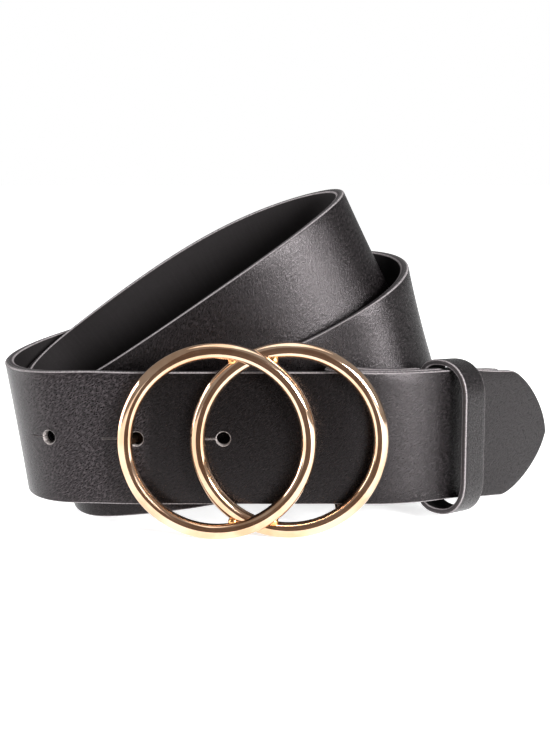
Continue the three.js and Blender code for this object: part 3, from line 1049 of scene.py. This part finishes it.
class Strap:
    """The leather strap with its holes."""

    def __init__(self, route: Route, maker: Maker, finish: LeatherFinish, cut: CutFinish) -> None:
        """Builds and dresses the strap.

        Args:
            route: the strap's path.
            maker: places shapes in the row frame.
            finish: the leather.
            cut: the raw leather inside the holes.
        """
        self.route = route
        self.maker = maker
        self.size = route.strap
        self.material = finish.build()
        self.cut_material = cut.build()
        self.piece = self._build()
        holes = self._punch("punched_holes", self._hole)
        self.maker.cut(self.piece, [holes, self._punch("slits", self._slit)])

    def _half_width(self, distance: float) -> float:
        """Works out half the strap's width.

        Args:
            distance: the place along the strap.

        Returns:
            Half the width there, which the tip's arch narrows.
        """
        arch = min(max(1 - (self.route.length - distance) / self.size.tip_arch, 0.0), 1.0)
        shape = (1 - arch ** self.size.tip_bluntness) ** (1 / self.size.tip_roundness)
        return max(self.size.width / 2 * shape, self.size.tip_end_corners * self.size.corner)

    def _outline(self, half_width: float) -> list[tuple[float, float]]:
        """Draws the strap's section.

        Args:
            half_width: half the strap's width.

        Returns:
            Its (out, up) places, counter-clockwise from the grain side's lower end.
        """
        half, corner = self.size.thickness / 2, self.size.corner
        columns = 12
        reach = half_width - corner
        grain = [(half, mixed(-reach, reach, i / columns)) for i in range(columns + 1)]
        top = corner_arc(half, half_width, corner)
        flat = half - corner
        over = [(x, half_width) for x in (flat, flat / 3, -flat / 3, -flat)]
        upper = [*grain, *top, *over, *((-x, y) for x, y in reversed(top))]
        return [*upper, *((-x, -y) for x, y in upper)]

    def _stations(self) -> list[Station]:
        """Lists the stations where the strap's sections stand.

        Returns:
            The stations, closer together towards the tip's end.
        """
        length, arch = self.route.length, self.size.tip_arch
        body = [s for s in self.route.stations[1:] if s.distance < length - arch]
        steps = 34
        tip = [self.route.at(length - arch * (1 - i / steps) ** 2) for i in range(steps + 1)]
        return [*self.route.fold(), *body, *tip]

    def _painted_sheen_at(self, distance: float) -> float:
        """Works out the grain's painted sheen, which is faint between the rings to paint shade there.

        Args:
            distance: the place along the strap.

        Returns:
            1 just before the rings, little between them and some elsewhere.
        """
        buckle, fade = self.route.buckle, self.size.slit_length
        starts = self.route.stud_distance()
        ends = starts + buckle.spacing + buckle.ring_diameter - buckle.ring_wire
        before = starts - 2 * self.size.hole_spacing
        marks = ((before, PAINTED_SHEEN), (before + 3 * fade, 1.0), (starts, 1.0), (starts + fade, PAINTED_SHEEN_IN_SHADE),
                 (ends - fade, PAINTED_SHEEN_IN_SHADE), (ends, PAINTED_SHEEN))
        for (near, low), (far, high) in zip(marks, marks[1:]):
            if near <= distance <= far:
                return mixed(low, high, (distance - near) / (far - near))
        return PAINTED_SHEEN

    def _build(self) -> bpy.types.Object:
        """Makes the strap's mesh.

        Returns:
            The strap without its holes.
        """
        stations = self._stations()
        half = self.size.thickness / 2
        points = []
        faces = []
        notes: dict[str, list[float]] = {"along": [], "across": [], "side": [], "rim": [], "painted_sheen": []}
        sides = len(self._outline(self.size.width / 2))
        run = 0.0
        for i, station in enumerate(stations):
            run += (station.place - stations[max(0, i - 1)].place).length
            width = self._half_width(station.distance)
            for out, up in self._outline(width):
                points.append(station.place + station.out * out + station.up * up)
                notes["along"].append(run)
                notes["across"].append(up)
                notes["side"].append(out / half)
                notes["rim"].append(min(width - abs(up), FAR_FROM_RIM))
                # Painted sheen on the grain, and painted shade between the rings
                notes["painted_sheen"].append(self._painted_sheen_at(station.distance))
            for k in range(sides if i else 0):
                a, b = (i - 1) * sides + k, (i - 1) * sides + (k + 1) % sides
                faces.append((a, a + sides, b + sides, b))
        faces.append(tuple(range(sides)))
        faces.append(tuple(reversed(range((len(stations) - 1) * sides, len(stations) * sides))))
        piece = self.maker.mesh("strap_leather", points, faces, self.material, notes)
        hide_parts("strap")
        return piece

    def _hole(self, station: Station, _: bool) -> list[list[Vector]]:
        """Draws the cutter of a punched hole that widens a little at both faces.

        Args:
            station: the hole's middle.
            _: not used, as the worn hole has the same shape.

        Returns:
            The cutter's rings of points, from the back to the front.
        """
        size = self.size
        radius, half, wide = size.hole_diameter / 2, size.thickness / 2, size.hole_bevel
        steps = 32
        turns = [2 * math.pi * k / steps for k in range(steps)]
        spokes = [station.along * math.cos(turn) + station.up * math.sin(turn) for turn in turns]
        rings = []
        for out, reach in ((-2 * half, radius + half + wide), (-half, radius + wide), (wide - half, radius),
                           (half - wide, radius), (half, radius + wide), (2 * half, radius + half + wide)):
            rings.append([station.place + station.out * out + spoke * reach for spoke in spokes])
        return rings

    def _slit(self, station: Station, worn: bool) -> list[list[Vector]]:
        """Draws the cutter of the slit beside a hole.

        Args:
            station: the hole's middle.
            worn: whether the slit is the longer one at the stud.

        Returns:
            The cutter's rings of points, from the back to the front.
        """
        size = self.size
        start = size.slit_width - size.hole_diameter / 2
        length = size.worn_slit_length if worn else size.slit_length
        half, narrow, bevel = size.thickness / 2, size.slit_width / 4, size.hole_bevel
        rings = []
        for out, wide in ((-half, narrow), (half - bevel / 2, narrow), (half + bevel / 2, narrow + bevel)):
            middle = station.place + station.out * out
            corners = ((start, -wide), (start, wide), (start - length, wide), (start - length, -wide))
            rings.append([middle + station.along * along + station.up * up for along, up in corners])
        return rings

    def _punch(self, name: str, shape: Callable[[Station, bool], list[list[Vector]]]) -> bpy.types.Object:
        """Makes the cutters of one shape for all the holes.

        Args:
            name: the cutters' name.
            shape: returns one cutter's rings of points at a station; the stud's hole is worn.

        Returns:
            The cutters as one object.
        """
        points: list[Vector] = []
        faces: list[tuple[int, ...]] = []
        for i in range(self.size.hole_count):
            distance = self.route.stud_distance() + (1 - i) * self.size.hole_spacing
            rings = shape(self.route.at(distance), i == 1)
            start, sides = len(points), len(rings[0])
            points += [point for ring in rings for point in ring]
            for k in range((len(rings) - 1) * sides):
                a, b = start + k, start + k // sides * sides + (k + 1) % sides
                faces.append((a, b, b + sides, a + sides))
            faces.append(tuple(start + k for k in reversed(range(sides))))
            faces.append(tuple(len(points) - sides + k for k in range(sides)))
        return self.maker.mesh(name, points, faces, self.cut_material)


class Buckle:
    """Two soldered rings with the bar and the stud behind them."""

    def __init__(self, route: Route, maker: Maker, metal: MetalFinish, stud_shade: MetalFinish,
                 solder: SolderFinish) -> None:
        """Builds and dresses the buckle.

        Args:
            route: the strap's path, which places the bar and the stud.
            maker: places shapes in the row frame.
            metal: the plating.
            stud_shade: the stud's metal, painted near black as shade in its hole.
            solder: the joints' finish.
        """
        self.route = route
        self.size = route.buckle
        self.maker = maker
        self.metal = metal.build()
        self.stud_shade = stud_shade.build()
        self.solder = solder.build()
        self.pieces = [*self._rings(), *self._joints(), *self._bar(), *self._stud()]
        for piece in self.pieces:
            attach(piece, "root")
        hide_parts("double_ring_buckle")

    def _at(self, across: float, deep: float, up: float) -> Vector:
        """Returns a place by its height over the rings' middle."""
        return Vector((across, deep, self.size.height + up))

    def _rings(self) -> list[bpy.types.Object]:
        """Makes the two rings.

        Returns:
            The left and the right ring.
        """
        rings = []
        for hand, deep in ((Hand.LEFT, self.size.left_deep), (Hand.RIGHT, self.size.right_deep)):
            across = hand.value * self.size.spacing / 2
            steps = 160
            path = []
            for i in range(steps):
                turn = 2 * math.pi * i / steps
                spoke = Vector((math.cos(turn), 0, math.sin(turn)))
                middle = self._at(across, deep, 0) + spoke * self.size.radius
                path.append((middle, spoke, Vector((0, 1, 0))))
            wire = [self.size.ring_wire / 2] * steps
            name = f"ring_{hand.name.lower()}"
            rings.append(self.maker.tube(name, path, wire, self.metal, closed=True, sides=36))
        return rings

    def _joints(self) -> list[bpy.types.Object]:
        """Makes the solder in the corners where the wires cross.

        Returns:
            The four joints.
        """
        inner = self.size.radius - self.size.ring_wire / 2
        outer = self.size.radius + self.size.ring_wire / 2
        across = (outer ** 2 - inner ** 2) / (2 * self.size.spacing)
        up = math.sqrt(inner ** 2 - (self.size.spacing / 2 - across) ** 2)
        deep = (self.size.left_deep + self.size.right_deep) / 2
        joints = []
        radius = self.size.solder_radius
        reach = Vector((0, radius, 0))
        steps, blunt_end = 12, 0.003
        profile = [(k / steps, radius * math.sqrt(max(1 - (2 * k / steps - 1) ** 2, blunt_end)))
                   for k in range(steps + 1)]
        for hand in Hand:
            for level in Level:
                middle = self._at(hand.value * across, deep, level.value * up)
                name = f"solder_{level.name.lower()}_{hand.name.lower()}"
                joints.append(self.maker.turned(name, middle - reach, middle + reach, profile, self.solder))
        return joints

    def _bar(self) -> list[bpy.types.Object]:
        """Makes the bar and its two posts as one bent wire.

        Returns:
            The wire.
        """
        across, height = self.route.bar_across, self.route.post_height
        radius = self.size.bar_wire / 2
        ring, bar = self.size.right_deep, self.route.bar_deep
        corners = [self._at(across, deep, up)
                   for deep, up in ((ring, -height), (bar, -height), (bar, height), (ring, height))]
        path: list[tuple[Vector, Vector, Vector]] = []
        side = Vector((1, 0, 0))
        bend = radius * self.size.bar_bend_share
        for i, corner in enumerate(corners):
            if i in (0, 3):
                way = Vector((0, 1 if i == 0 else -1, 0))
                path.append((corner, side, side.cross(way)))
                continue
            into = (corner - corners[i - 1]).normalized()
            away = (corners[i + 1] - corner).normalized()
            steps = 8
            for k in range(steps + 1):
                turn = math.pi / 2 * k / steps
                way = into * math.cos(turn) + away * math.sin(turn)
                place = corner - into * bend * (1 - math.sin(turn)) + away * bend * (1 - math.cos(turn))
                path.append((place, side, side.cross(way)))
        return [self.maker.tube("bar", path, [radius] * len(path), self.metal)]

    def _stud(self) -> list[bpy.types.Object]:
        """Makes the stud behind the left ring's wire, with its flat head behind the strap.

        Returns:
            The stud.
        """
        size = self.size
        back = self.route.strap.thickness + self.route.strap.layer_gap
        start = self._at(self.route.stud_across, size.left_deep + size.ring_wire / 4, 0)
        end = self._at(self.route.stud_across, back + size.stud_head_thickness, 0)
        thick = size.stud_head_thickness / (end - start).length
        neck = size.stud_wire / 2
        head = size.stud_head / 2
        round_share = size.stud_rounding_share
        profile = [(0.0, neck), (1 - thick, neck), (1 - thick, head - size.stud_rounding),
                   (1 - thick * (1 - round_share), head), (1 - thick * round_share, head),
                   (1.0, head - size.stud_rounding)]
        return [self.maker.turned("stud", start, end, profile, self.stud_shade)]


@dataclass(frozen=True)
class KeeperSizes:
    """Sizes of the keeper loop, in millimetres and degrees."""

    width: float = 8.7
    height: float = 41.0
    front_reach: float = 8.7
    back_reach: float = 6.4
    wall: float = 1.5
    front_curve: float = 10.0
    back_curve: float = 5.0
    squareness: float = 2.3
    pull: float = 1.06
    place: float = 1.4
    turn: float = 6.0
    drop: float = 1.15
    climb: float = -4.5
    corner: float = 0.35


class Keeper:
    """The leather loop that holds the tip end."""

    def __init__(self, route: Route, maker: Maker, size: KeeperSizes, finish: LeatherFinish) -> None:
        """Builds and dresses the keeper.

        Args:
            route: the strap's path, which places the keeper.
            maker: places shapes in the row frame.
            size: the keeper's sizes.
            finish: the leather.
        """
        self.route = route
        self.maker = maker
        self.size = size
        self.material = finish.build()
        self.piece = self._build()

    def _arch(self, reach: float, curve: float) -> list[tuple[float, float]]:
        """Draws a quarter of the wall's middle line.

        Args:
            reach: how far out its side is.
            curve: how high its curve is.

        Returns:
            Its (out, up) places, from the side to the top.
        """
        inset = self.size.wall / 2
        top = self.size.height / 2 - inset
        steps = 18
        quarter = []
        for k in range(steps + 1):
            turn = math.pi / 2 * k / steps
            x, y = (abs(share) ** (2 / self.size.squareness) for share in (math.cos(turn), math.sin(turn)))
            quarter.append(((reach - inset) * x, top - (curve - inset) * (1 - y)))
        return quarter

    def _track(self) -> list[tuple[float, float]]:
        """Draws the wall's middle line.

        Returns:
            Its (out, up) places, once round from the middle of the back.
        """
        back = [(-x, y) for x, y in self._arch(self.size.back_reach, self.size.back_curve)]
        front = list(reversed(self._arch(self.size.front_reach, self.size.front_curve)))
        half = [*back, *front[1:]]
        low = [(x, -y) for x, y in reversed(half)]
        sides = 24

        def side(x: float, start: float, end: float) -> list[tuple[float, float]]:
            """Returns points along a straight side, without its ends."""
            return [(x, mixed(start, end, k / sides)) for k in range(1, sides)]

        (back_x, back_y), (front_x, front_y) = half[0], half[-1]
        return [(back_x, 0.0), *side(back_x, 0.0, back_y), *half, *side(front_x, front_y, -front_y), *low,
                *side(back_x, -back_y, 0.0), (back_x, 0.0)]

    def _section(self) -> list[tuple[float, float]]:
        """Draws the wall's section.

        Returns:
            Its (out, along) places, with its corners rounded.
        """
        half, corner, width = self.size.wall / 2, self.size.corner, self.size.width / 2
        arc = corner_arc(half, width, corner)
        columns = 6
        face = [(half, mixed(corner - width, width - corner, i / columns)) for i in range(columns + 1)]
        upper = [*face, *arc, (half - corner, width), (corner - half, width),
                 *((-x, y) for x, y in reversed(arc))]
        return [*upper, *((-x, -y) for x, y in upper)]

    def _build(self) -> bpy.types.Object:
        """Makes the keeper's mesh.

        Returns:
            The keeper.
        """
        strap, size = self.route.strap, self.size
        inner_tuck = strap.tuck_radius - strap.thickness - strap.layer_gap
        reach = inner_tuck * math.radians(strap.tuck_angle) + size.place
        station = self.route.at(self.route.tuck_across - self.route.bar_across + reach)
        yaw = math.radians(strap.tuck_angle + size.turn)
        out = Vector((math.sin(yaw), -math.cos(yaw), 0))
        along = Vector((math.cos(yaw), math.sin(yaw), math.tan(math.radians(size.climb)))).normalized()
        up = Vector((0, 0, 1))
        pulled = (strap.thickness + strap.layer_gap) / 2 - size.pull
        middle = station.place + station.out * pulled - up * size.drop
        section = self._section()
        points, faces = [], []
        notes: dict[str, list[float]] = {"along": [], "across": [], "side": [], "rim": [], "painted_sheen": []}
        track = self._track()
        run = 0.0
        for i, (x, y) in enumerate(track):
            before, after = track[i - 1 if i else -2], track[i + 1 if i + 1 < len(track) else 1]
            way = Vector((after[0] - before[0], after[1] - before[1])).normalized()
            if i:
                run += math.hypot(x - track[i - 1][0], y - track[i - 1][1])
            for thick, over in section:
                points.append(middle + out * (x - way.y * thick) + up * (y + way.x * thick) + along * over)
                notes["along"].append(over)
                notes["across"].append(run)
                notes["side"].append(2 * thick / size.wall)
                notes["rim"].append(size.width / 2 - abs(over))
                # The keeper's grain carries the usual painted sheen
                notes["painted_sheen"].append(PAINTED_SHEEN)
            for k in range(len(section) if i else 0):
                a, b = (i - 1) * len(section) + k, (i - 1) * len(section) + (k + 1) % len(section)
                faces.append((a, b, b + len(section), a + len(section)))
        piece = self.maker.mesh("keeper_leather", points, faces, self.material, notes)
        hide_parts("keeper_loop")
        return piece


@dataclass(frozen=True)
class Lamp:
    """A soft lamp that faces the belt, in metres and watts."""

    name: str
    place: tuple[float, float, float]
    size: tuple[float, float]
    power: float


LAMPS: tuple[Lamp, ...] = (
    Lamp("lamp_left", (-0.62, 0.03, 0.10), (0.45, 0.45), 6.5),
    Lamp("lamp_right", (0.44, -0.52, 0.24), (0.22, 0.26), 13.5),
    Lamp("lamp_top", (0.05, 0.05, 0.80), (0.60, 0.60), 2.0),
)
LAMP_AIM = (0.0, 0.0, 0.03)


@dataclass(frozen=True)
class Studio:
    """The camera, the floor and the lights, in metres and degrees."""

    eye_from_buckle: tuple[float, float, float] = (0.00547, -0.34569, 0.09825)
    pitch: float = 9.0
    focal_pixels: float = 1400.0
    long_side_pixels: float = 733.0
    sensor: float = 36.0
    clip: tuple[float, float] = (0.01, 20.0)
    floor_size: float = 6.0
    card_size: tuple[float, float] = (0.081, 0.100)
    card_place: tuple[float, float, float] = (-0.0045, -0.080, 0.050)
    sky_strength: float = 0.40

    def camera(self, buckle: Vector) -> None:
        """Makes the camera.

        Args:
            buckle: the buckle's own origin.
        """
        data = bpy.data.cameras.new("camera")
        data.sensor_width = self.sensor
        data.lens = self.sensor * self.focal_pixels / self.long_side_pixels
        data.clip_start, data.clip_end = self.clip
        camera = bpy.data.objects.new("camera", data)
        camera.location = buckle + Vector(self.eye_from_buckle)
        camera.rotation_euler = (math.radians(90 - self.pitch), 0, 0)
        bpy.context.scene.collection.objects.link(camera)
        bpy.context.scene.camera = camera

    @staticmethod
    def _sheet(name: str, size: tuple[float, float], material: bpy.types.Material) -> bpy.types.Object:
        """Makes a flat sheet that belongs to the studio.

        Args:
            name: the sheet's name.
            size: its two sides.
            material: its surface.

        Returns:
            The sheet, lying at the origin.
        """
        x, y = size[0] / 2, size[1] / 2
        data = bpy.data.meshes.new(name)
        data.from_pydata([(-x, -y, 0), (x, -y, 0), (x, y, 0), (-x, y, 0)], [], [(0, 1, 2, 3)])
        data.materials.append(material)
        sheet = bpy.data.objects.new(name, data)
        bpy.context.scene.collection.objects.link(sheet)
        return sheet

    def floor(self) -> None:
        """Makes the surface that the belt stands on."""
        self._sheet("floor", (self.floor_size, self.floor_size), PALE_FLOOR.build())

    def card(self) -> None:
        """Makes the dark card in front of the buckle, which only reflections show: it glows dark brown to
        paint a dark, warm reflection into the rings and the strap's front, and casts no shade.
        """
        card = self._sheet("reflection_card", self.card_size, PAINTED_REFLECTION_CARD.build())
        card.rotation_euler = (math.radians(90), 0, 0)
        card.location = self.card_place
        card.visible_camera = False
        card.visible_diffuse = False
        card.visible_shadow = False

    @staticmethod
    def light(lamp: Lamp) -> None:
        """Makes a lamp.

        Args:
            lamp: its size, place and power.
        """
        data = bpy.data.lights.new(lamp.name, "AREA")
        data.shape = "RECTANGLE"
        data.size, data.size_y = lamp.size
        data.energy = lamp.power
        made = bpy.data.objects.new(lamp.name, data)
        made.location = lamp.place
        aim = Vector(LAMP_AIM) - Vector(lamp.place)
        made.rotation_euler = aim.to_track_quat("-Z", "Y").to_euler()
        bpy.context.scene.collection.objects.link(made)

    def sky(self) -> None:
        """Makes the surroundings, white behind the belt and dimmer as a light."""
        world = bpy.data.worlds.new("surroundings")
        world.use_nodes = True
        tree = NodeTree(world.node_tree)
        seen = tree.node("ShaderNodeLightPath", {}, {}, "Is Camera Ray")
        strength = self.sky_strength + seen * (1.0 - self.sky_strength)
        glow = tree.node("ShaderNodeBackground", {}, {"Color": (1.0, 1.0, 1.0, 1.0), "Strength": strength})
        tree.finish("ShaderNodeOutputWorld", glow)
        bpy.context.scene.world = world
        bpy.context.scene.view_settings.view_transform = "Standard"

    def build(self, buckle: Vector) -> None:
        """Makes everything round the belt.

        Args:
            buckle: the buckle's own origin.
        """
        self.camera(buckle)
        self.floor()
        self.card()
        self.sky()
        for lamp in LAMPS:
            self.light(lamp)


def main() -> None:
    """Builds the belt and the studio."""
    logging.basicConfig(level=logging.INFO, format="%(name)s: %(message)s")
    buckle_sizes = BuckleSizes()
    route = Route(StrapSizes(), buckle_sizes)
    low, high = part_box("double_ring_buckle")
    origin = Vector((low[0] + (buckle_sizes.spacing + buckle_sizes.ring_diameter) / 2 * MM,
                     high[1] - (route.bar_deep + buckle_sizes.bar_wire / 2) * MM, 0.0))
    LOG.info("buckle's own origin at %s", [round(value, 5) for value in origin])
    maker = Maker(origin)
    strap = Strap(route, maker, LeatherFinish("strap_leather"), CutFinish("cut_leather"))
    LOG.info("strap: %d faces, %.0f mm long", len(strap.piece.data.polygons), route.length)
    buckle = Buckle(route, maker, MetalFinish("rose_gold"), SHADED_STUD, SolderFinish("solder"))
    LOG.info("buckle: %d pieces", len(buckle.pieces))
    keeper = Keeper(route, maker, KeeperSizes(), LeatherFinish("keeper_leather", grain_depth=0.00008))
    LOG.info("keeper: %d faces", len(keeper.piece.data.polygons))
    for piece in (strap.piece, keeper.piece):
        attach(piece, "root")
    Studio().build(origin)


if __name__ == "__main__":
    main()
